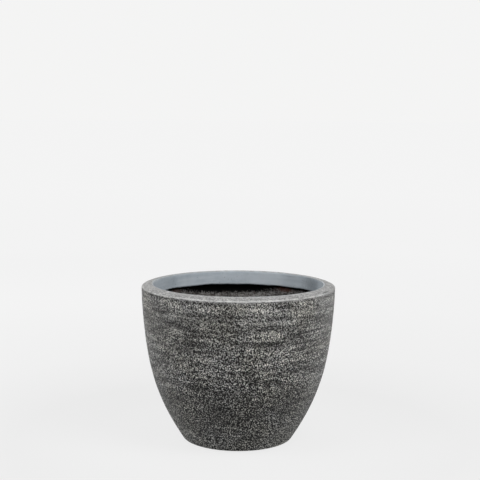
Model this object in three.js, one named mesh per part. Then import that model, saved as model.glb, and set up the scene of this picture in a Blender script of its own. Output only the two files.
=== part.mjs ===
// Bowl planter: a laminated fibre-cement pot with a thickened lip, a drain plug and foot pads.
// Millimetres, +Z up. The origin is on the floor, under the middle of the pot.
import * as THREE from 'three';

// Overall size and the curve of the wall
const HEIGHT = 350; // floor to the top of the rim
const RIM_RADIUS = 215; // outside of the rim
const FOOT_RADIUS = 118; // outer edge of the flat that the pot stands on
const FOOT_ARRIS = 6; // rounding between that flat and the wall
const WALL_ANGLE_AT_FOOT = 57; // degrees from the horizontal
const WALL_ANGLE_AT_RIM = 87.1; // degrees from the horizontal
const FOOT_FULLNESS = 0.362; // length of the wall curve's lower handle, per wall height
const RIM_FULLNESS = 0.48; // length of the wall curve's upper handle, per wall height

// Rim: a crown that falls outwards, with a rounded arris
const RIM_WIDTH = 26.5; // outside of the rim to the bore of the lip
const CROWN_RADIUS = 46;
const RIM_ARRIS = 3;
const RIM_SKIN = 5; // face shell under the outer edge of the crown

// Layers of the wall, from the outside in
const SHELL_THICKNESS = 5;
const MAT_THICKNESS = 1.6;
const LINING_THICKNESS = 5.5;
const BOND_GAP = 0.3; // bond line between two layers

// Lip inside the mouth
const LIP_HEIGHT = 30;
const LIP_ARRIS = 3; // rounding at the top of its bore
const LIP_CHAMFER = 1.5; // at the bottom of its bore

// Floor
const SLAB_THICKNESS = 12;
const DRAIN_RADIUS = 16;
const FOOT_RING_WIDTH = 26;
const RECESS_DEPTH = 3; // hollow inside the foot ring
const RECESS_SLOPE = 4; // run of the recess's sloping edge

// Foot pads
const PAD_COUNT = 4;
const PAD_RADIUS = 9;
const PAD_THICKNESS = 2;
const PAD_CHAMFER = 0.4;

// Drain plug
const PLUG_CLEARANCE = 0.4; // round the stem, in the drain hole
const SEAT_GAP = 0.3; // under the flange
const STEM_LENGTH = 20;
const STEM_TAPER = 1.6; // radius lost from the top of the stem to its tip
const STEM_CHAMFER = 1.5;
const FLANGE_LAP = 10; // flange beyond the edge of the drain hole
const FLANGE_EDGE = 2; // upright edge of the flange
const FLANGE_THICKNESS = 4;
const NECK_RADIUS = 5;
const NECK_HEIGHT = 9;
const KNOB_RADIUS = 10;
const KNOB_THICKNESS = 10;

// Steps of the curves
const TURN_STEPS = 60;
const PLUG_TURN_STEPS = 36;
const PAD_TURN_STEPS = 24;
const WALL_STEPS = 10;
const CROWN_STEPS = 4;
const ARRIS_STEPS = 3;
const KNOB_STEPS = 7;

const radians = THREE.MathUtils.degToRad;
const point = (radius, z) => new THREE.Vector2(radius, z);

// Points on an arc in the half-plane of radius and height, both ends included.
function arc(centre, radius, fromAngle, toAngle, steps) {
  const points = [];
  for (let step = 0; step <= steps; step++) {
    const angle = radians(THREE.MathUtils.lerp(fromAngle, toAngle, step / steps));
    points.push(point(centre.x + radius * Math.cos(angle), centre.y + radius * Math.sin(angle)));
  }
  return points;
}

// Heights that the layers share
const footZ = PAD_THICKNESS + BOND_GAP;
const recessZ = footZ + RECESS_DEPTH;
const shellFloorZ = recessZ + SHELL_THICKNESS;
const matFloorZ = shellFloorZ + BOND_GAP;
const slabZ = matFloorZ + MAT_THICKNESS + BOND_GAP;
const liningFloorZ = slabZ + SLAB_THICKNESS + BOND_GAP;
const innerFloorZ = liningFloorZ + LINING_THICKNESS;
const lipZ = HEIGHT - LIP_HEIGHT;

// The crown is an arc that is level at the lip and touches the rim's rounding from the inside.
const lipRadius = RIM_RADIUS - RIM_WIDTH;
const crownStart = lipRadius + LIP_ARRIS + BOND_GAP;
const crownCentre = point(crownStart, HEIGHT - CROWN_RADIUS);
const rimRun = RIM_RADIUS - RIM_ARRIS - crownStart;
const rimRise = Math.sqrt((CROWN_RADIUS - RIM_ARRIS) ** 2 - rimRun ** 2);
const rimCentre = point(RIM_RADIUS - RIM_ARRIS, crownCentre.y + rimRise);
const crownEdgeAngle = THREE.MathUtils.radToDeg(Math.atan2(rimRise, rimRun));
const lipSeatZ = rimCentre.y + RIM_ARRIS - RIM_SKIN;

// The wall's outside is one cubic curve from the foot's rounding to the rim's.
const footCentre = point(FOOT_RADIUS, footZ + FOOT_ARRIS);
const footArc = arc(footCentre, FOOT_ARRIS, -90, WALL_ANGLE_AT_FOOT - 90, ARRIS_STEPS);
const wallFoot = footArc.at(-1);
const wallTop = point(RIM_RADIUS, rimCentre.y);
const wallHeight = wallTop.y - wallFoot.y;
const heading = (angle) => point(Math.cos(radians(angle)), Math.sin(radians(angle)));
const footHandle = heading(WALL_ANGLE_AT_FOOT).multiplyScalar(FOOT_FULLNESS * wallHeight);
const rimHandle = heading(WALL_ANGLE_AT_RIM).multiplyScalar(RIM_FULLNESS * wallHeight);
const wallCurve = new THREE.CubicBezierCurve(
  wallFoot,
  wallFoot.clone().add(footHandle),
  wallTop.clone().sub(rimHandle),
  wallTop,
);

// The wall's outside moved inwards by a depth, from the foot up.
function wallLine(depth) {
  const line = [];
  for (let step = 0; step <= WALL_STEPS; step++) {
    const along = wallCurve.getTangent(step / WALL_STEPS);
    const inwards = point(-along.y, along.x);
    line.push(wallCurve.getPoint(step / WALL_STEPS).addScaledVector(inwards, depth));
  }
  return line;
}

// The part of that line between two heights, with its end stretches carried on where they are short.
function wallBetween(depth, lowZ, highZ) {
  const line = wallLine(depth);
  const crossing = (z) => {
    const found = line.findIndex((corner) => corner.y > z);
    const upper = found < 0 ? line.length - 1 : Math.max(found, 1);
    const [below, above] = [line[upper - 1], line[upper]];
    return below.clone().lerp(above, (z - below.y) / (above.y - below.y));
  };
  const between = line.filter((corner) => corner.y > lowZ && corner.y < highZ);
  return [crossing(lowZ), ...between, crossing(highZ)];
}

// A solid of revolution. A ring's outline is closed on itself; a solid one starts and ends on the axis.
function turned(outline, steps) {
  const onAxis = outline[0].x === 0;
  const profile = onAxis ? outline : [...outline, outline[0].clone()];
  const geometry = new THREE.LatheGeometry(profile, steps);
  geometry.rotateX(Math.PI / 2);
  return geometry;
}

// Face shell: foot ring, wall and crown outside; floor, wall and the underside of the crown inside.
function outerShell() {
  const footRingInner = FOOT_RADIUS - FOOT_RING_WIDTH;
  const crown = arc(crownCentre, CROWN_RADIUS, crownEdgeAngle, 90, CROWN_STEPS);
  const rimRounding = arc(rimCentre, RIM_ARRIS, 0, crownEdgeAngle, ARRIS_STEPS);
  const inside = wallBetween(SHELL_THICKNESS, shellFloorZ, lipSeatZ).reverse();
  return turned([
    point(DRAIN_RADIUS, recessZ),
    point(footRingInner - RECESS_SLOPE, recessZ),
    point(footRingInner, footZ),
    ...footArc,
    ...wallLine(0).slice(1),
    ...rimRounding.slice(1, -1),
    ...crown,
    point(crownStart, lipSeatZ),
    ...inside,
    point(DRAIN_RADIUS, shellFloorZ),
  ], TURN_STEPS);
}

// A cup-shaped layer with the drain hole through its floor.
function cupLayer(depth, thickness, floorZ, topZ) {
  return turned([
    point(DRAIN_RADIUS, floorZ),
    ...wallBetween(depth, floorZ, topZ),
    ...wallBetween(depth + thickness, floorZ + thickness, topZ).reverse(),
    point(DRAIN_RADIUS, floorZ + thickness),
  ], TURN_STEPS);
}

const matDepth = SHELL_THICKNESS + BOND_GAP;
const liningDepth = matDepth + MAT_THICKNESS + BOND_GAP;

function glassFibreMat() {
  return cupLayer(matDepth, MAT_THICKNESS, matFloorZ, lipSeatZ - BOND_GAP);
}

function innerLining() {
  return cupLayer(liningDepth, LINING_THICKNESS, liningFloorZ, lipZ - BOND_GAP);
}

// Thickening disc between the mat and the lining, as wide as the wall leaves it.
function baseSlab() {
  return turned([
    point(DRAIN_RADIUS, slabZ),
    ...wallBetween(liningDepth, slabZ, slabZ + SLAB_THICKNESS),
    point(DRAIN_RADIUS, slabZ + SLAB_THICKNESS),
  ], TURN_STEPS);
}

// Lip: its outer part fits under the crown, and its rounded bore stands inside the crown's edge.
function rimCollar() {
  const boreRounding = arc(point(lipRadius + LIP_ARRIS, HEIGHT - LIP_ARRIS), LIP_ARRIS, 90, 180, ARRIS_STEPS);
  return turned([
    point(lipRadius + LIP_CHAMFER, lipZ),
    ...wallBetween(liningDepth, lipZ, lipSeatZ - BOND_GAP),
    point(lipRadius + LIP_ARRIS, lipSeatZ - BOND_GAP),
    ...boreRounding,
    point(lipRadius, lipZ + LIP_CHAMFER),
  ], TURN_STEPS);
}

// Plug: tapered stem, flange, neck and knob. Its own zero height is the underside of the flange.
function drainPlug() {
  const stemRadius = DRAIN_RADIUS - PLUG_CLEARANCE;
  const tipRadius = stemRadius - STEM_TAPER;
  const flangeRadius = DRAIN_RADIUS + FLANGE_LAP;
  const knobCentre = point(KNOB_RADIUS - KNOB_THICKNESS / 2, FLANGE_THICKNESS + NECK_HEIGHT + KNOB_THICKNESS / 2);
  return turned([
    point(0, -STEM_LENGTH),
    point(tipRadius - STEM_CHAMFER, -STEM_LENGTH),
    point(tipRadius, STEM_CHAMFER - STEM_LENGTH),
    point(stemRadius, 0),
    point(flangeRadius, 0),
    point(flangeRadius, FLANGE_EDGE),
    point(NECK_RADIUS + FLANGE_THICKNESS, FLANGE_THICKNESS),
    point(NECK_RADIUS, FLANGE_THICKNESS + NECK_HEIGHT / 2),
    ...arc(knobCentre, KNOB_THICKNESS / 2, -90, 90, KNOB_STEPS),
    point(0, FLANGE_THICKNESS + NECK_HEIGHT + KNOB_THICKNESS),
  ], PLUG_TURN_STEPS);
}

function footPad() {
  return turned([
    point(0, 0),
    point(PAD_RADIUS - PAD_CHAMFER, 0),
    point(PAD_RADIUS, PAD_CHAMFER),
    point(PAD_RADIUS, PAD_THICKNESS),
    point(0, PAD_THICKNESS),
  ], PAD_TURN_STEPS);
}

const finish = (color, roughness) => new THREE.MeshStandardMaterial({ color, roughness, metalness: 0 });
const faceCement = finish(0x62625f, 0.95);
const glassFibre = finish(0xb9b7a8, 0.8);
const darkBacking = finish(0x1f1c1b, 0.9);
const smoothCement = finish(0x8f989f, 0.6);
const plainCement = finish(0x7a7976, 0.95);
const rubber = finish(0x1c1c1d, 0.7);

function piece(name, geometry, material) {
  const mesh = new THREE.Mesh(geometry, material);
  mesh.name = name;
  return mesh;
}

function drainPlugInPlace() {
  const plug = piece('drain_plug', drainPlug(), rubber);
  plug.position.z = innerFloorZ + SEAT_GAP;
  return plug;
}

function footPads() {
  const pads = new THREE.Group();
  const circle = FOOT_RADIUS - FOOT_RING_WIDTH / 2;
  for (let index = 0; index < PAD_COUNT; index++) {
    const angle = ((index + 0.5) / PAD_COUNT) * 2 * Math.PI;
    const pad = piece(`foot_pad_${index + 1}`, footPad(), rubber);
    pad.position.set(circle * Math.cos(angle), circle * Math.sin(angle), 0);
    pads.add(pad);
  }
  return pads;
}

const planter = new THREE.Group();
planter.add(
  piece('outer_shell', outerShell(), faceCement),
  piece('glass_fibre_mat', glassFibreMat(), glassFibre),
  piece('inner_lining', innerLining(), darkBacking),
  piece('rim_collar', rimCollar(), smoothCement),
  piece('base_slab', baseSlab(), plainCement),
  drainPlugInPlace(),
  footPads(),
);

export default planter;
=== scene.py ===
# The looks of a fibre-cement bowl planter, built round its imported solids. Metres, +Z up.
import math

import bmesh
import bpy
import numpy as np
from mathutils import Matrix, Vector, noise

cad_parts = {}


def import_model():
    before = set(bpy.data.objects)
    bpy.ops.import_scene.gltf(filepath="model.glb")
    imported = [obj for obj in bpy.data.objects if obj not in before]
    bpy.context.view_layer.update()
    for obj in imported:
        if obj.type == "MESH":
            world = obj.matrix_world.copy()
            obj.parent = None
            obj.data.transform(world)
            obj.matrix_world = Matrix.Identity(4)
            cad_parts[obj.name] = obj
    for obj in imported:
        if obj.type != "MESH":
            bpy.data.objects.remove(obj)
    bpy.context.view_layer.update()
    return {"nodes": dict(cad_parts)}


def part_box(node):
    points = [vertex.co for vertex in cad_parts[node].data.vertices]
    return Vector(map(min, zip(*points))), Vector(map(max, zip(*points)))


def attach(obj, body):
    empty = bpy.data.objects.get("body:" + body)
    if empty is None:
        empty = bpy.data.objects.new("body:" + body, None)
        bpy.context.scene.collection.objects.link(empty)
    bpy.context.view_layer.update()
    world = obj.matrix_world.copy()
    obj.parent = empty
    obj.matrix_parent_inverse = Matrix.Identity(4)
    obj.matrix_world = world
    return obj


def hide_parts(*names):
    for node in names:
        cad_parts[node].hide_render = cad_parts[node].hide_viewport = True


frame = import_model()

MM = 0.001
UV_NAME = "OFBake"
TOUCHING = 0.001 * MM  # points this close are one
SHARP_BEND = math.radians(35)  # a corner of an outline, not a bend

# Places read from the frame
RIM_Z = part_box("outer_shell")[1].z
RIM_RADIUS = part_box("outer_shell")[1].x
FOOT_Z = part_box("outer_shell")[0].z
LIP_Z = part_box("rim_collar")[0].z
LINING_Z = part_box("inner_lining")[0].z
BORE_RADIUS = RIM_RADIUS - 25 * MM  # about the face of the lip
BORE_Z = RIM_Z - 18 * MM  # about the middle of that face
UNDERCUT_RADIUS = RIM_RADIUS - 27 * MM  # about the lining under the lip

# Camera, fitted to the photograph's outline
CAMERA_PLACE = Vector((0.0, -2.3485, 0.7117))
CAMERA_PITCH = 6.468  # degrees below the horizontal
CAMERA_YAW = 0.0737  # degrees clockwise, seen from above
CAMERA_ROLL = 0.382  # degrees
CAMERA_LENS = 80.1  # mm, and so is the sensor
SENSOR_WIDTH = 36.0

# Outer face
SHELL_TURNS = 576
WALL_STEP = 2.75 * MM
RIM_STEP = 1.5 * MM
RIM_BAND = 12 * MM  # finer rows this far below the top of the rim
RIM_BREADTH = 25 * MM  # and this far in from its edge
HIDDEN_STEP = 30 * MM
CORNER_EASE = 0.8 * MM
ARRIS_DROP = 6.5 * MM  # the rim's outer arris below its top
GRIT_SIZE = 4.4 * MM
GRIT_DEPTH = 0.9 * MM
GRIT_SLOPE = 2.6  # how steeply the grit's ridges fall away
STRATA_WAVES = (7, 7, 48)  # per metre along each axis, as all waves here
STRATA_DEPTH = 0.35 * MM
SWELL_WAVES = (7, 7, 5)
SWELL_DEPTH = 0.5 * MM
CROWN_WAVES = (90, 90, 90)
CROWN_DEPTH = 0.15 * MM
CROWN_BREADTH = 24 * MM  # relief of the rim this far in from its edge
CROWN_SWELL = 0.3  # share of the swell that the rim takes
FACE_LIFT = 0.7 * MM  # puts the middle of the relief on the solid's face
FOOT_CLEAR = 2 * MM  # no relief this close to the foot's flat

# Broad paler and darker patches of the face: azimuth in degrees, then height, half-width and
# half-height in mm, and the change of tone
PATCHES = (
    (-134, 183, 85, 52, -0.07),
    (-52, 285, 75, 40, -0.09),
    (-18, 312, 60, 36, 0.09),
    (-163, 318, 65, 36, 0.10),
)

# Rim collar
COLLAR_TURNS = 480
COLLAR_STEP = 1.5 * MM
TRIM_DROP = 2.5 * MM  # what is left below its lower edge
TRIM_DEPTH = 1.4 * MM  # unevenness of that edge
TRIM_REACH = 6 * MM  # how far up the edge's unevenness fades out
TRIM_WAVES = (30, 30, 0)
TRIM_NICKS = (90, 90, 0)
BORE_WAVES = (30, 30, 45)
BORE_DEPTH = 0.35 * MM
BOND_DEPTH = 9 * MM  # height of the bond line
BOND_FILL = 0.22 * MM  # cement in the bond line round its top

# Lining
LINING_TURNS = 360
LINING_STEP = 4 * MM
LINING_DEPTH = 1.2 * MM
LINING_WAVES = (60, 60, 45)
LINING_LUMPS = (140, 140, 140)
FLOOR_THICKNESS = 5.5 * MM  # of the lining
PLUG_CLEAR = (30 * MM, 45 * MM)  # no relief inside the first radius, all of it beyond the second

# Plug and pads
PLUG_TURNS = 72
PLUG_STEP = 1.2 * MM
PAD_TURNS = 48
PAD_STEP = 1.5 * MM
RUBBER_EASE = 0.5 * MM

# Studio: each softbox's name, place, size and power in watts
SOFTBOXES = (
    ("right", (1.4, -1.2, 1.8), 1.0, 19),
    ("left", (-1.4, -1.2, 1.8), 1.0, 10),
    ("high_right", (0.8, -0.8, 2.0), 0.9, 21),
    ("high_left", (-0.8, -0.8, 2.0), 0.9, 10),
    ("side", (-1.9, -0.1, 0.9), 1.2, 7),
    ("back", (-0.9, 1.9, 1.6), 1.4, 12),
)
AMBIENT = (0.08, 0.08, 0.08, 1)

# Backdrop and floor as the camera sees them. Each tone of the floor has its distance from the pot.
BACKDROP = (0.905, 0.905, 0.902, 1)
FLOOR_TONES = (
    # Painted light: out to 0.3 m from the pot the tone is a little higher than at 0.5 m, offsetting
    # part of the object's shadow.
    (0.0, 0.79),
    (0.3, 0.79),
    (0.5, 0.775),
    (0.9, 0.815),
    (1.8, 0.853),
    (3.5, 0.884),
    (8.0, 0.895),
)
FLOOR_REACH = 400.0
FLOOR_SHADE = 0.07  # its albedo for the object's shadow
FLOOR_BOUNCE = 0.35  # and for the light that it gives back


# ---------------------------------------------------------------- outlines

def section(node):
    """A turned solid's outline in its half-plane y = 0, x >= 0.

    It runs anticlockwise from its lowest, innermost corner.
    """
    mesh = frame["nodes"][node].data
    corners = {}
    for vertex in mesh.vertices:
        if abs(vertex.co.y) < TOUCHING and vertex.co.x > -TOUCHING:
            corners[vertex.index] = (round(abs(vertex.co.x), 6), round(vertex.co.z, 6))
    links = {corner: set() for corner in corners.values()}
    for a, b in mesh.edge_keys:
        if a in corners and b in corners and corners[a] != corners[b]:
            links[corners[a]].add(corners[b])
            links[corners[b]].add(corners[a])
    here = min(links, key=lambda corner: (corner[1], corner[0]))
    path = [here]
    while True:
        ahead = [corner for corner in links[here] if corner not in path]
        if not ahead:
            return [Vector(corner) for corner in path]
        here = max(ahead) if len(path) == 1 else ahead[0]
        path.append(here)


def eased(corners, ease):
    """The outline with each sharp corner rounded.

    Each point comes with whether the outline runs straight into it.
    """
    points = []
    for index, corner in enumerate(corners):
        arriving = corner - corners[index - 1]
        leaving = corners[(index + 1) % len(corners)] - corner
        on_axis = corner.x == 0
        if on_axis or arriving.angle(leaving) < SHARP_BEND:
            points.append((corner, on_axis))
            continue
        start = corner - arriving.normalized() * min(ease, 0.4 * arriving.length)
        end = corner + leaving.normalized() * min(ease, 0.4 * leaving.length)
        for share in (0, 0.25, 0.5, 0.75, 1):
            bend = start.lerp(corner, share).lerp(corner.lerp(end, share), share)
            points.append((bend, share in (0, 1)))
    return points


def heading(before, after):
    """Direction of a smooth curve at a point between these two neighbours."""
    return (after - before).normalized()


def smooth_rows(corners, spacing, ease=CORNER_EASE):
    """Points along an outline, about spacing(point, direction) apart.

    Its gentle bends become one smooth curve.
    """
    points = eased(corners, ease)
    count = len(points)
    closed = corners[0].x > 0
    rows = []
    for index in range(count if closed else count - 1):
        here, here_straight = points[index]
        there, there_straight = points[(index + 1) % count]
        chord = there - here
        along = chord.normalized()
        leave = along if here_straight else heading(points[index - 1][0], there)
        arrive = along if there_straight else heading(here, points[(index + 2) % count][0])
        steps = max(1, round(chord.length / spacing(here, along)))
        for step in range(steps):
            t = step / steps
            ends = here * (1 + 2 * t) * (1 - t) ** 2 + there * t * t * (3 - 2 * t)
            bends = leave * t * (1 - t) ** 2 - arrive * t * t * (1 - t)
            rows.append(ends + bends * chord.length)
    if not closed:
        rows.append(points[-1][0])
    return rows


# ---------------------------------------------------------------- turned meshes

def field(places, scale, seed):
    """Smooth noise of about -1 to 1 at each place. The scale is in waves per metre along each axis."""
    shift = Vector((seed, 2.7 * seed, -1.3 * seed))
    stretch = Vector(scale)
    flat = places.reshape(-1, 3)
    values = [noise.noise(Vector(place) * stretch + shift) for place in flat]
    return np.array(values).reshape(places.shape[:-1])


def fade(values, low, high):
    """0 below low, 1 above high and smooth between."""
    share = np.clip((values - low) / (high - low), 0, 1)
    return share * share * (3 - 2 * share)


def weld(mesh):
    """Joins the points that meet on the axis."""
    edit = bmesh.new()
    edit.from_mesh(mesh)
    bmesh.ops.remove_doubles(edit, verts=edit.verts, dist=TOUCHING)
    edit.to_mesh(mesh)
    edit.free()


def turned(name, rows, turns, shape=None, centre=(0, 0)):
    """A mesh of rows turned about a vertical axis.

    shape(places, outward) gives its relief, how far each place hangs down, and named point values.
    """
    closed = rows[0].x > 0
    outline = np.array(rows)
    if closed:
        along = np.roll(outline, -1, 0) - np.roll(outline, 1, 0)
    else:
        along = np.gradient(outline, axis=0)
    along /= np.linalg.norm(along, axis=1)[:, None]
    outward = np.stack([along[:, 1], -along[:, 0]], 1)
    angle = np.arange(turns) * 2 * np.pi / turns
    round_axis = np.stack([np.cos(angle), np.sin(angle)], 1)

    def placed(line):
        flat = line[:, None, :1] * round_axis[None]
        tall = np.broadcast_to(line[:, None, 1:], flat.shape[:2] + (1,))
        return np.concatenate([flat, tall], 2)

    places = placed(outline)
    values = {}
    if shape:
        relief, sag, values = shape(places, outward)
        places = places + placed(outward) * relief[..., None]
        places[..., 2] -= sag
    places[..., :2] += centre

    count = len(rows)
    index = np.arange(count * turns).reshape(count, turns)
    following = index if closed else index[:-1]
    above = np.roll(index, -1, 0) if closed else index[1:]
    quads = np.stack([following, np.roll(following, -1, 1), np.roll(above, -1, 1), above], -1)
    mesh = bpy.data.meshes.new(name)
    mesh.from_pydata(places.reshape(-1, 3).tolist(), [], quads.reshape(-1, 4).tolist())
    spans = count if closed else count - 1
    u = np.arange(turns) / turns
    v = np.arange(spans) / spans
    corners = [(0, 0), (1, 0), (1, 1), (0, 1)]
    across, up = np.meshgrid(u, v)
    uv = np.stack([np.stack([across + a / turns, up + b / spans], -1) for a, b in corners], 2)
    mesh.uv_layers.new(name=UV_NAME).data.foreach_set("uv", uv.ravel())
    for key, value in values.items():
        layer = mesh.attributes.new(key, "FLOAT", "POINT")
        layer.data.foreach_set("value", np.broadcast_to(value, places.shape[:2]).ravel())
    if not closed:
        weld(mesh)
    mesh.polygons.foreach_set("use_smooth", [True] * len(mesh.polygons))
    piece = bpy.data.objects.new(name, mesh)
    bpy.context.scene.collection.objects.link(piece)
    return piece


def dress(piece, material, body, slot, *nodes):
    """Gives a piece its finish and body, and lets it stand for the CAD nodes."""
    piece.data.materials.append(material)
    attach(piece, body)
    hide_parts(*nodes)


# ---------------------------------------------------------------- finishes

class Finish:
    """A material with short calls for the nodes that the finishes are made of."""

    def __init__(self, name):
        self.material = bpy.data.materials.new(name)
        self.material.use_nodes = True
        self.tree = self.material.node_tree
        self.shader = self.tree.nodes["Principled BSDF"]
        self.place = self.node("ShaderNodeTexCoord").outputs["Object"]

    def node(self, kind, inputs=(), **settings):
        node = self.tree.nodes.new(kind)
        for key, value in settings.items():
            setattr(node, key, value)
        for key, value in dict(inputs).items():
            if isinstance(value, bpy.types.NodeSocket):
                self.tree.links.new(value, node.inputs[key])
            else:
                node.inputs[key].default_value = value
        return node

    def set(self, **values):
        """Sets the shader's own sockets, named as Base_Color for Base Color."""
        for key, value in values.items():
            socket = self.shader.inputs[key.replace("_", " ")]
            if isinstance(value, bpy.types.NodeSocket):
                self.tree.links.new(value, socket)
            else:
                socket.default_value = value

    def maths(self, operation, *values):
        return self.node("ShaderNodeMath", enumerate(values), operation=operation).outputs[0]

    def times(self, first, second):
        return self.maths("MULTIPLY", first, second)

    def apart(self, first, second):
        """How far the two values are apart."""
        return self.maths("ABSOLUTE", self.maths("SUBTRACT", first, second))

    def total(self, start, *parts):
        """The start and each part's value times its weight, summed."""
        for value, weight in parts:
            start = self.maths("MULTIPLY_ADD", value, weight, start)
        return start

    def toward(self, start, goal, share):
        return self.maths("MULTIPLY_ADD", self.maths("SUBTRACT", goal, start), share, start)

    def reach(self, place):
        """Distance of a place from the origin."""
        return self.node("ShaderNodeVectorMath", {0: place}, operation="LENGTH").outputs["Value"]

    def axis(self, name):
        return self.node("ShaderNodeSeparateXYZ", {0: self.place}).outputs[name]

    def value(self, name):
        """A point value of the mesh."""
        return self.node("ShaderNodeAttribute", attribute_name=name).outputs["Fac"]

    def level(self, value, low, high, to_low=0.0, to_high=1.0):
        """Goes smoothly from to_low at low to to_high at high."""
        inputs = {
            "Value": value,
            "From Min": low,
            "From Max": high,
            "To Min": to_low,
            "To Max": to_high,
        }
        return self.node("ShaderNodeMapRange", inputs, interpolation_type="SMOOTHSTEP").outputs[0]

    def noise(self, size, detail=2.0, roughness=0.5, distortion=0.0, vector=None):
        """Noise whose features are about a size across."""
        inputs = {
            "Vector": vector or self.place,
            "Scale": 1 / size,
            "Detail": detail,
            "Roughness": roughness,
            "Distortion": distortion,
        }
        return self.node("ShaderNodeTexNoise", inputs).outputs["Fac"]

    def bands(self, waves, detail, roughness=0.5, distortion=0.0, shift=(0, 0, 0)):
        """Noise of that many waves per metre along each axis."""
        inputs = {"Vector": self.place, "Location": shift, "Scale": waves}
        vector = self.node("ShaderNodeMapping", inputs).outputs[0]
        return self.noise(1.0, detail, roughness, distortion, vector)

    def cells(self, size):
        """Distance from the middle of each cell, of about that size."""
        inputs = {"Vector": self.place, "Scale": 1 / size}
        return self.node("ShaderNodeTexVoronoi", inputs).outputs["Distance"]

    def spot(self, azimuth, radius, height, size, soft=0.4, ragged=0.5):
        """1 on a patch of the round, 0 beyond its half-sizes along, through and up the wall.

        Its edge is ragged.
        """
        turn = math.radians(azimuth)
        centre = (radius * math.cos(turn), radius * math.sin(turn), height)
        inputs = {
            "Vector": self.place,
            "Location": centre,
            "Rotation": (0, 0, turn + math.pi / 2),
            "Scale": size,
        }
        local = self.node("ShaderNodeMapping", inputs, vector_type="TEXTURE").outputs[0]
        edge = self.maths("MULTIPLY_ADD", self.noise(4 * MM, detail=3), 2 * ragged, self.reach(local))
        return self.level(edge, 1 + ragged, soft + ragged)

    def mix(self, share, first, second):
        """The first colour, or the second where the share is 1."""
        inputs = {"Factor": share, "A": first, "B": second}
        node = self.node("ShaderNodeMix", data_type="RGBA")
        for key, value in inputs.items():
            kind = "VALUE" if key == "Factor" else "RGBA"
            socket = next(s for s in node.inputs if s.name == key and s.type == kind)
            if isinstance(value, bpy.types.NodeSocket):
                self.tree.links.new(value, socket)
            else:
                socket.default_value = value
        return next(s for s in node.outputs if s.type == "RGBA")

    def ramp(self, share, *stops):
        """Colours along a share, each stop a place and a colour."""
        node = self.node("ShaderNodeValToRGB", {0: share})
        elements = node.color_ramp.elements
        while len(elements) < len(stops):
            elements.new(0.5)
        for element, (place, color) in zip(elements, stops):
            element.position = place
            element.color = color
        return node.outputs[0]

    def bump(self, height, distance, strength=1.0):
        inputs = {"Height": height, "Distance": distance, "Strength": strength}
        self.set(Normal=self.node("ShaderNodeBump", inputs).outputs[0])


def grey(value, warmth=0.0):
    """An opaque linear colour of that value. Warmth takes blue out of it."""
    return (value * (1 + 0.2 * warmth), value, value * (1 - warmth), 1.0)


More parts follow.
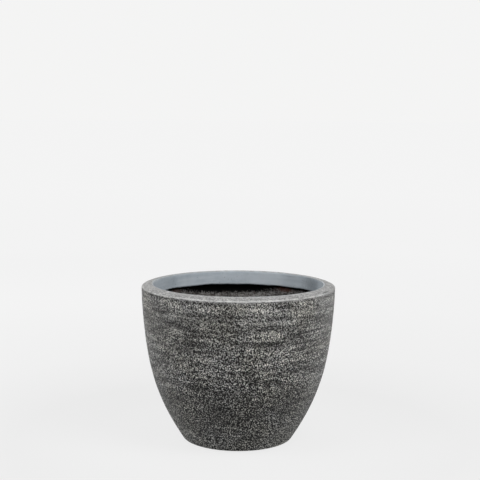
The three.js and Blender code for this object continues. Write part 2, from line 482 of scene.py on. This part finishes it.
def face_cement():
    """Grey cement ground back to its grit, with a paler, smoother skin on the rim.

    Pale threads and grains lie over dark pits, in faint level strata. Painted shade darkens the lower
    wall, and the pale line along the rim's arris is partly its rubbed skin and partly a painted
    highlight.
    """
    finish = Finish("face_cement")
    height = finish.axis("Z")
    threads = finish.noise(2.9 * MM, detail=1, roughness=0.5, distortion=0.8)
    worms = finish.level(finish.apart(threads, 0.5), 0.12, 0.01)
    grain = finish.level(finish.noise(2.2 * MM, detail=0), 0.32, 0.68)
    pits = finish.level(finish.noise(2.6 * MM, detail=0), 0.50, 0.39)
    relief = finish.value("relief")
    strata = finish.bands((13, 13, 95), detail=3, roughness=0.55)
    streaks = finish.bands((12, 12, 240), detail=0, shift=(5, 2, 4))
    patches = finish.bands((9, 9, 24), detail=2, shift=(3, 1, 2))
    detail = finish.total(-0.375, (worms, 0.18), (grain, 0.64), (relief, 0.05), (pits, -0.75))
    crust = finish.level(height, RIM_Z - 50 * MM, RIM_Z - 14 * MM)
    contrast = finish.total(2.35, (height, -1.95 / RIM_Z), (crust, 0.32))
    layers = finish.total(
        -0.295,
        (finish.level(streaks, 0.3, 0.7), 0.13),
        (finish.level(strata, 0.3, 0.7), 0.32),
        (finish.level(patches, 0.3, 0.7), 0.14),
    )
    for azimuth, middle, width, tall, change in PATCHES:
        size = (width * MM, 200 * MM, tall * MM)
        patch = finish.spot(azimuth, RIM_RADIUS, middle * MM, size, 0.0, 0.2)
        layers = finish.total(layers, (patch, change))
    # Painted shade: the tone rises with height and the next mask darkens the lower wall further,
    # standing in for the light that falls off as the wall curves in toward the foot.
    above_foot = finish.level(height, -20 * MM, 80 * MM)
    painted_shade_low = finish.times(above_foot, finish.level(height, 230 * MM, 100 * MM))
    body = finish.total(0.385, (height, 0.14 / RIM_Z), (detail, contrast), (layers, 1))

    wavy = finish.maths("MULTIPLY_ADD", finish.noise(80 * MM, detail=1), 16 * MM, height)
    ragged = finish.maths("MULTIPLY_ADD", finish.noise(4 * MM, detail=3), 20 * MM, wavy)
    skin = finish.level(ragged, RIM_Z + 6 * MM, RIM_Z + 11 * MM)
    mottle = finish.bands((130, 130, 330), detail=4, roughness=0.7)
    pale = finish.total(0.13, (mottle, 0.60), (grain, 0.20), (relief, 0.04), (pits, -0.08))
    # A pale line along the rim's outer arris: partly rubbed skin, partly a painted highlight. The dull
    # spot fades that painted highlight on one side.
    wander = finish.maths("MULTIPLY_ADD", finish.noise(7 * MM, detail=2), 4 * MM, height)
    arris = finish.apart(wander, RIM_Z - ARRIS_DROP + 1.7 * MM)
    wear_and_glint_strength = finish.level(finish.noise(18 * MM, detail=3), 0.35, 0.6, 0.4, 1.0)
    edge_share = finish.times(finish.level(arris, 2.6 * MM, 0.4 * MM), wear_and_glint_strength)
    dull = finish.spot(-14, RIM_RADIUS, RIM_Z - ARRIS_DROP, (90 * MM, 90 * MM, 30 * MM), 0.2, 0.2)
    edge_share = finish.times(edge_share, finish.total(1.0, (dull, -0.75)))
    crack = finish.spot(-28, RIM_RADIUS, RIM_Z - 4.4 * MM, (26 * MM, 14 * MM, 1 * MM), 0.2, 0.3)
    tone = finish.toward(body, pale, skin)
    tone = finish.toward(tone, 0.78, edge_share)
    tone = finish.toward(tone, 0.2, crack)

    light = finish.maths("POWER", finish.maths("MAXIMUM", tone, 0.07), 2.2)
    # Painted shade on the lower wall.
    light = finish.times(light, finish.total(1.0, (painted_shade_low, -0.48)))
    warmth = finish.noise(70 * MM, detail=2)
    tint = finish.ramp(warmth, (0.35, grey(1.0, 0.03)), (0.65, grey(1.0, 0.085)))
    tint = finish.mix(finish.times(skin, 0.7), tint, grey(1.0))
    color = finish.mix(light, grey(0.0), tint)
    finish.set(Base_Color=color, Roughness=0.93, Sheen_Weight=0.3, Sheen_Roughness=0.5)
    finish.shader.inputs["Specular IOR Level"].default_value = 0.25
    finish.bump(finish.times(detail, finish.level(skin, 0, 1, 1.0, 0.25)), 1.2 * MM, 0.45)
    return finish.material


def smooth_cement():
    """Blue-grey cement, trowelled smooth, with streaks, pinholes, a dark mark, painted shade on two
    sides of the lip, a paler patch that is partly painted light, and a rubbed top edge.
    """
    finish = Finish("smooth_cement")
    clouds = finish.noise(40 * MM, detail=4, roughness=0.6)
    streaks = finish.bands((14, 14, 150), detail=4, roughness=0.65)
    tone = finish.maths("MULTIPLY_ADD", finish.level(streaks, 0.3, 0.7, -0.5, 0.5), 0.28, clouds)
    body = finish.ramp(
        tone,
        (0.25, (0.34, 0.39, 0.435, 1)),
        (0.5, (0.425, 0.475, 0.52, 1)),
        (0.8, (0.51, 0.555, 0.595, 1)),
    )
    # Painted shade: the darker zones at azimuths 26 and 150 degrees stand in for shade on two sides of
    # the lip; the thin line at 50 degrees is a dark mark.
    side_painted_shadow = finish.spot(26, BORE_RADIUS, BORE_Z, (50 * MM, 30 * MM, 34 * MM), 0.1)
    line = finish.spot(50, BORE_RADIUS, RIM_Z - 6.5 * MM, (30 * MM, 30 * MM, 2.5 * MM), 0.2)
    shade = finish.spot(150, BORE_RADIUS, BORE_Z, (50 * MM, 30 * MM, 40 * MM), 0.0)
    marks_and_painted_shade = finish.total(0.0, (line, 0.3), (side_painted_shadow, 0.55), (shade, 0.2))
    # A paler patch on the back of the lip, partly the cement's own tone and partly painted light where
    # the lip faces the lamps.
    pale_and_lit_patch = finish.spot(72, BORE_RADIUS, BORE_Z, (110 * MM, 60 * MM, 60 * MM), 0.0)
    color = finish.mix(finish.times(pale_and_lit_patch, 0.6), body, (0.53, 0.575, 0.615, 1))
    color = finish.mix(marks_and_painted_shade, color, (0.14, 0.16, 0.18, 1))
    holes = finish.level(finish.cells(9 * MM), 0.13, 0.07)
    color = finish.mix(finish.times(holes, 0.7), color, (0.10, 0.11, 0.12, 1))
    height = finish.axis("Z")
    top = finish.level(height, RIM_Z - 3.2 * MM, RIM_Z - 1.6 * MM)
    edge_share = finish.level(finish.noise(14 * MM, detail=3), 0.3, 0.6, 0.4, 1.0)
    color = finish.mix(finish.times(top, edge_share), color, (0.30, 0.315, 0.32, 1))
    finish.set(Base_Color=color, Roughness=0.62)
    finish.bump(finish.noise(3 * MM, detail=3), 0.3 * MM, 0.35)
    return finish.material


def dark_backing():
    """Dark, rough backing coat with strands of glass fibre, and a painted shadow in black just under
    the lip.
    """
    finish = Finish("dark_backing")
    coarse = finish.noise(12 * MM, detail=5, roughness=0.7, distortion=0.6)
    strands = finish.bands((35, 35, 170), detail=5, roughness=0.7, distortion=1.2)
    fuzz = finish.noise(3.5 * MM, detail=2, roughness=0.6, distortion=1.0)
    tone = finish.total(-0.1, (strands, 0.5), (coarse, 0.3), (fuzz, 0.5))
    color = finish.ramp(
        tone,
        (0.42, (0.022, 0.020, 0.019, 1)),
        (0.54, (0.11, 0.105, 0.10, 1)),
        (0.68, (0.33, 0.32, 0.31, 1)),
    )
    rust = finish.level(finish.noise(8 * MM, detail=4, roughness=0.7), 0.58, 0.68, 0, 0.45)
    color = finish.mix(rust, color, (0.08, 0.032, 0.02, 1))
    # Painted shadow: the lining just under the lip is made black, reaching deeper at the back,
    # standing in for the lip's shadow.
    edge = finish.maths("MULTIPLY_ADD", finish.noise(12 * MM, detail=4), 8 * MM, finish.axis("Z"))
    painted_shadow_under_lip = finish.level(edge, LIP_Z - 8 * MM, LIP_Z - 3 * MM)
    deeper_painted_shadow = finish.spot(97, UNDERCUT_RADIUS, LIP_Z, (150 * MM, 90 * MM, 28 * MM), 0.75, 0.3)
    color = finish.mix(finish.maths("MAXIMUM", painted_shadow_under_lip, deeper_painted_shadow), color, (0.001, 0.001, 0.001, 1))
    for azimuth, half, share in ((57, 34 * MM, 0.8), (137, 22 * MM, 0.45)):
        rusty = finish.spot(azimuth, UNDERCUT_RADIUS, LIP_Z - 12 * MM, (half, 40 * MM, 9 * MM), 0.2)
        color = finish.mix(finish.times(rusty, share), color, (0.11, 0.034, 0.02, 1))
    finish.set(Base_Color=color, Roughness=0.92)
    finish.shader.inputs["Specular IOR Level"].default_value = 0.08
    finish.bump(tone, 2 * MM, 0.8)
    return finish.material


def plain_cement():
    """Untreated grey cement."""
    finish = Finish("plain_cement")
    tone = finish.noise(12 * MM, detail=5, roughness=0.65)
    color = finish.ramp(tone, (0.3, grey(0.13, 0.03)), (0.7, grey(0.25, 0.03)))
    finish.set(Base_Color=color, Roughness=0.95)
    finish.bump(tone, 0.8 * MM, 0.6)
    return finish.material


def glass_fibre():
    """Chopped strands of glass in resin."""
    finish = Finish("glass_fibre")
    strands = finish.noise(2.5 * MM, detail=3, roughness=0.7, distortion=3.0)
    color = finish.ramp(strands, (0.35, grey(0.34, 0.05)), (0.65, grey(0.62, 0.05)))
    finish.set(Base_Color=color, Roughness=0.75)
    finish.bump(strands, 0.4 * MM, 0.7)
    return finish.material


def rubber(name, value, roughness):
    """Moulded rubber, a little dusty."""
    finish = Finish(name)
    dust = finish.noise(6 * MM, detail=5, roughness=0.7)
    color = finish.ramp(dust, (0.35, grey(value)), (0.8, grey(value * 2.4, 0.03)))
    dull = finish.level(dust, 0.3, 0.7, roughness, roughness + 0.15)
    finish.set(Base_Color=color, Roughness=dull)
    finish.bump(finish.noise(0.8 * MM, detail=2), 0.1 * MM, 0.4)
    return finish.material


# ---------------------------------------------------------------- pieces

def outer_shell():
    outline = section("outer_shell")

    def spacing(point, along):
        if point.y > RIM_Z - RIM_BAND and point.x > RIM_RADIUS - RIM_BREADTH:
            return RIM_STEP
        outside = along.y > 0.3 or point.y < FOOT_Z + 8 * MM
        return WALL_STEP if outside and point.x > 0.5 * RIM_RADIUS else HIDDEN_STEP

    def shape(places, outward):
        radius = np.hypot(places[..., 0], places[..., 1])
        height = places[..., 2]
        outside = fade(outward[:, :1], 0.1, 0.6) * fade(height, FOOT_Z + FOOT_CLEAR, FOOT_Z + 10 * MM)
        crown = fade(height, RIM_Z - ARRIS_DROP, RIM_Z - ARRIS_DROP + 2 * MM)
        face = outside * (1 - crown)
        wave = 1 / GRIT_SIZE
        grit = 1 - np.abs(field(places, (wave, wave, wave), 1.0)) * GRIT_SLOPE
        strata = field(places, STRATA_WAVES, 4.0)
        swell = field(places, SWELL_WAVES, 7.0)
        crown_relief = field(places, CROWN_WAVES, 9.0)
        relief = face * (GRIT_DEPTH * (grit - 1) * 0.5 + STRATA_DEPTH * (strata - 1) * 0.5)
        relief += (face + crown * CROWN_SWELL) * SWELL_DEPTH * (swell - 1) * 0.5
        relief += face * FACE_LIFT * fade(RIM_Z - height, 12 * MM, 40 * MM)
        relief += crown * CROWN_DEPTH * (crown_relief - 1) * (radius > RIM_RADIUS - CROWN_BREADTH)
        return relief, 0, {"relief": np.clip(grit, 0, 1)}

    piece = turned("face_shell", smooth_rows(outline, spacing), SHELL_TURNS, shape)
    dress(piece, face_cement(), "pot", "face_cement", "outer_shell")


def rim_collar():
    def shape(places, outward):
        height = places[..., 2]
        low = 1 - fade(height, LIP_Z, LIP_Z + TRIM_REACH)
        trim = field(places, TRIM_WAVES, 2.0) + 0.5 * field(places, TRIM_NICKS, 3.0)
        bore = np.clip(-outward[:, :1], 0, 1)
        bonded = (outward[:, :1] > 0.9) & (height > RIM_Z - BOND_DEPTH)
        relief = bore * BORE_DEPTH * field(places, BORE_WAVES, 5.0) + bonded * BOND_FILL
        return relief, low * (TRIM_DROP + TRIM_DEPTH * trim), {}

    rows = smooth_rows(section("rim_collar"), lambda point, along: COLLAR_STEP)
    piece = turned("lip_collar", rows, COLLAR_TURNS, shape)
    dress(piece, smooth_cement(), "pot", "smooth_cement", "rim_collar")


def inner_lining():
    outline = section("inner_lining")
    floor_z = LINING_Z + FLOOR_THICKNESS

    def spacing(point, along):
        inside = along.y < -0.3 or point.y > floor_z - 1 * MM
        return LINING_STEP if inside else HIDDEN_STEP

    def shape(places, outward):
        radius = np.hypot(places[..., 0], places[..., 1])
        inside = np.clip(-outward[:, :1] * 2, 0, 1) + np.clip(outward[:, 1:], 0, 1)
        clear = fade(radius, *PLUG_CLEAR)
        rough = field(places, LINING_WAVES, 1.5) + 0.5 * field(places, LINING_LUMPS, 2.5)
        return np.clip(inside, 0, 1) * clear * LINING_DEPTH * (rough - 1) * 0.5, 0, {}

    piece = turned("dark_lining", smooth_rows(outline, spacing), LINING_TURNS, shape)
    dress(piece, dark_backing(), "pot", "dark_backing", "inner_lining")


def drain_plug():
    rows = smooth_rows(section("drain_plug"), lambda point, along: PLUG_STEP, RUBBER_EASE)
    piece = turned("rubber_plug", rows, PLUG_TURNS)
    dress(piece, rubber("plug_rubber", 0.012, 0.5), "plug", "plug_rubber", "drain_plug")


def foot_pads():
    material = rubber("pad_rubber", 0.018, 0.7)
    for node in frame["nodes"]:
        if not node.startswith("foot_pad"):
            continue
        low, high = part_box(node)
        radius = (high.x - low.x) / 2
        corners = ((0, low.z), (radius, low.z), (radius, high.z), (0, high.z))
        outline = [Vector(corner) for corner in corners]
        rows = smooth_rows(outline, lambda point, along: PAD_STEP, RUBBER_EASE)
        centre = ((low + high) / 2)[:2]
        piece = turned(node.replace("foot_pad", "rubber_pad"), rows, PAD_TURNS, centre=centre)
        dress(piece, material, "pot", "pad_rubber", node)


def hidden_layers():
    """The mat and the slab don't show, so they keep their solids."""
    for node, material in (("glass_fibre_mat", glass_fibre()), ("base_slab", plain_cement())):
        frame["nodes"][node].data.materials.clear()
        frame["nodes"][node].data.materials.append(material)


outer_shell()
rim_collar()
inner_lining()
drain_plug()
foot_pads()
hidden_layers()


# ---------------------------------------------------------------- studio

def lamp(name, place, target, size, power):
    """A square softbox that faces its target."""
    light = bpy.data.lights.new(name, "AREA")
    light.size = size
    light.energy = power
    holder = bpy.data.objects.new(name, light)
    holder.location = place
    holder.rotation_euler = (Vector(target) - Vector(place)).to_track_quat("-Z", "Y").to_euler()
    bpy.context.scene.collection.objects.link(holder)


def studio():
    for name, place, size, power in SOFTBOXES:
        lamp(name + "_softbox", place, (0, 0, 0.2), size, power)


def seen_plain(tree):
    """1 for the rays that see the backdrop: from the camera, or by a reflection or through glass."""
    rays = tree.nodes.new("ShaderNodeLightPath")
    seen = rays.outputs["Is Camera Ray"]
    for other in ("Is Glossy Ray", "Is Transmission Ray"):
        either = tree.nodes.new("ShaderNodeMath")
        either.operation = "MAXIMUM"
        tree.links.new(seen, either.inputs[0])
        tree.links.new(rays.outputs[other], either.inputs[1])
        seen = either.outputs[0]
    return seen


def choose(tree, share, first, second, output):
    """Gives the output the first shader, or the second where the share is 1."""
    mix = tree.nodes.new("ShaderNodeMixShader")
    for socket, source in zip(mix.inputs, (share, first, second)):
        tree.links.new(source, socket)
    tree.links.new(mix.outputs[0], tree.nodes.new(output).inputs[0])


def world():
    background = bpy.data.worlds.new("studio")
    background.use_nodes = True
    tree = background.node_tree
    tree.nodes.clear()
    sky = tree.nodes.new("ShaderNodeBackground")
    sky.inputs["Color"].default_value = BACKDROP
    light = tree.nodes.new("ShaderNodeBackground")
    light.inputs["Color"].default_value = AMBIENT
    choose(tree, seen_plain(tree), light.outputs[0], sky.outputs[0], "ShaderNodeOutputWorld")
    bpy.context.scene.world = background


def floor():
    """A floor that goes over into the backdrop and still takes the object's shadow."""
    mesh = bpy.data.meshes.new("floor")
    corners = [(-FLOOR_REACH, -FLOOR_REACH, 0), (FLOOR_REACH, -FLOOR_REACH, 0)]
    corners += [(FLOOR_REACH, FLOOR_REACH, 0), (-FLOOR_REACH, FLOOR_REACH, 0)]
    mesh.from_pydata(corners, [], [(0, 1, 2, 3)])
    plane = bpy.data.objects.new("floor", mesh)
    bpy.context.scene.collection.objects.link(plane)
    finish = Finish("floor")
    distance = finish.reach(finish.place)
    far = FLOOR_TONES[-1][0]
    stops = [(place / far, grey(value)) for place, value in FLOOR_TONES]
    tones = finish.ramp(finish.maths("DIVIDE", distance, far), *stops)
    glow = finish.node("ShaderNodeEmission", {"Color": tones}).outputs[0]
    shadow = finish.node("ShaderNodeBsdfDiffuse", {"Color": grey(FLOOR_SHADE)}).outputs[0]
    bounce = finish.node("ShaderNodeBsdfDiffuse", {"Color": grey(FLOOR_BOUNCE)}).outputs[0]
    both = finish.node("ShaderNodeAddShader", {0: glow, 1: shadow}).outputs[0]
    finish.tree.nodes.remove(finish.shader)
    finish.tree.nodes.remove(finish.tree.nodes["Material Output"])
    choose(finish.tree, seen_plain(finish.tree), bounce, both, "ShaderNodeOutputMaterial")
    mesh.materials.append(finish.material)


def camera():
    lens = bpy.data.cameras.new("camera")
    lens.lens = CAMERA_LENS
    lens.sensor_width = SENSOR_WIDTH
    holder = bpy.data.objects.new("camera", lens)
    turn = (
        Matrix.Rotation(math.radians(-CAMERA_YAW), 4, "Z")
        @ Matrix.Rotation(math.radians(90 - CAMERA_PITCH), 4, "X")
        @ Matrix.Rotation(math.radians(CAMERA_ROLL), 4, "Z")
    )
    holder.matrix_world = Matrix.Translation(CAMERA_PLACE) @ turn
    bpy.context.scene.collection.objects.link(holder)
    bpy.context.scene.camera = holder


studio()
world()
floor()
camera()
bpy.context.scene.view_settings.view_transform = "Standard"
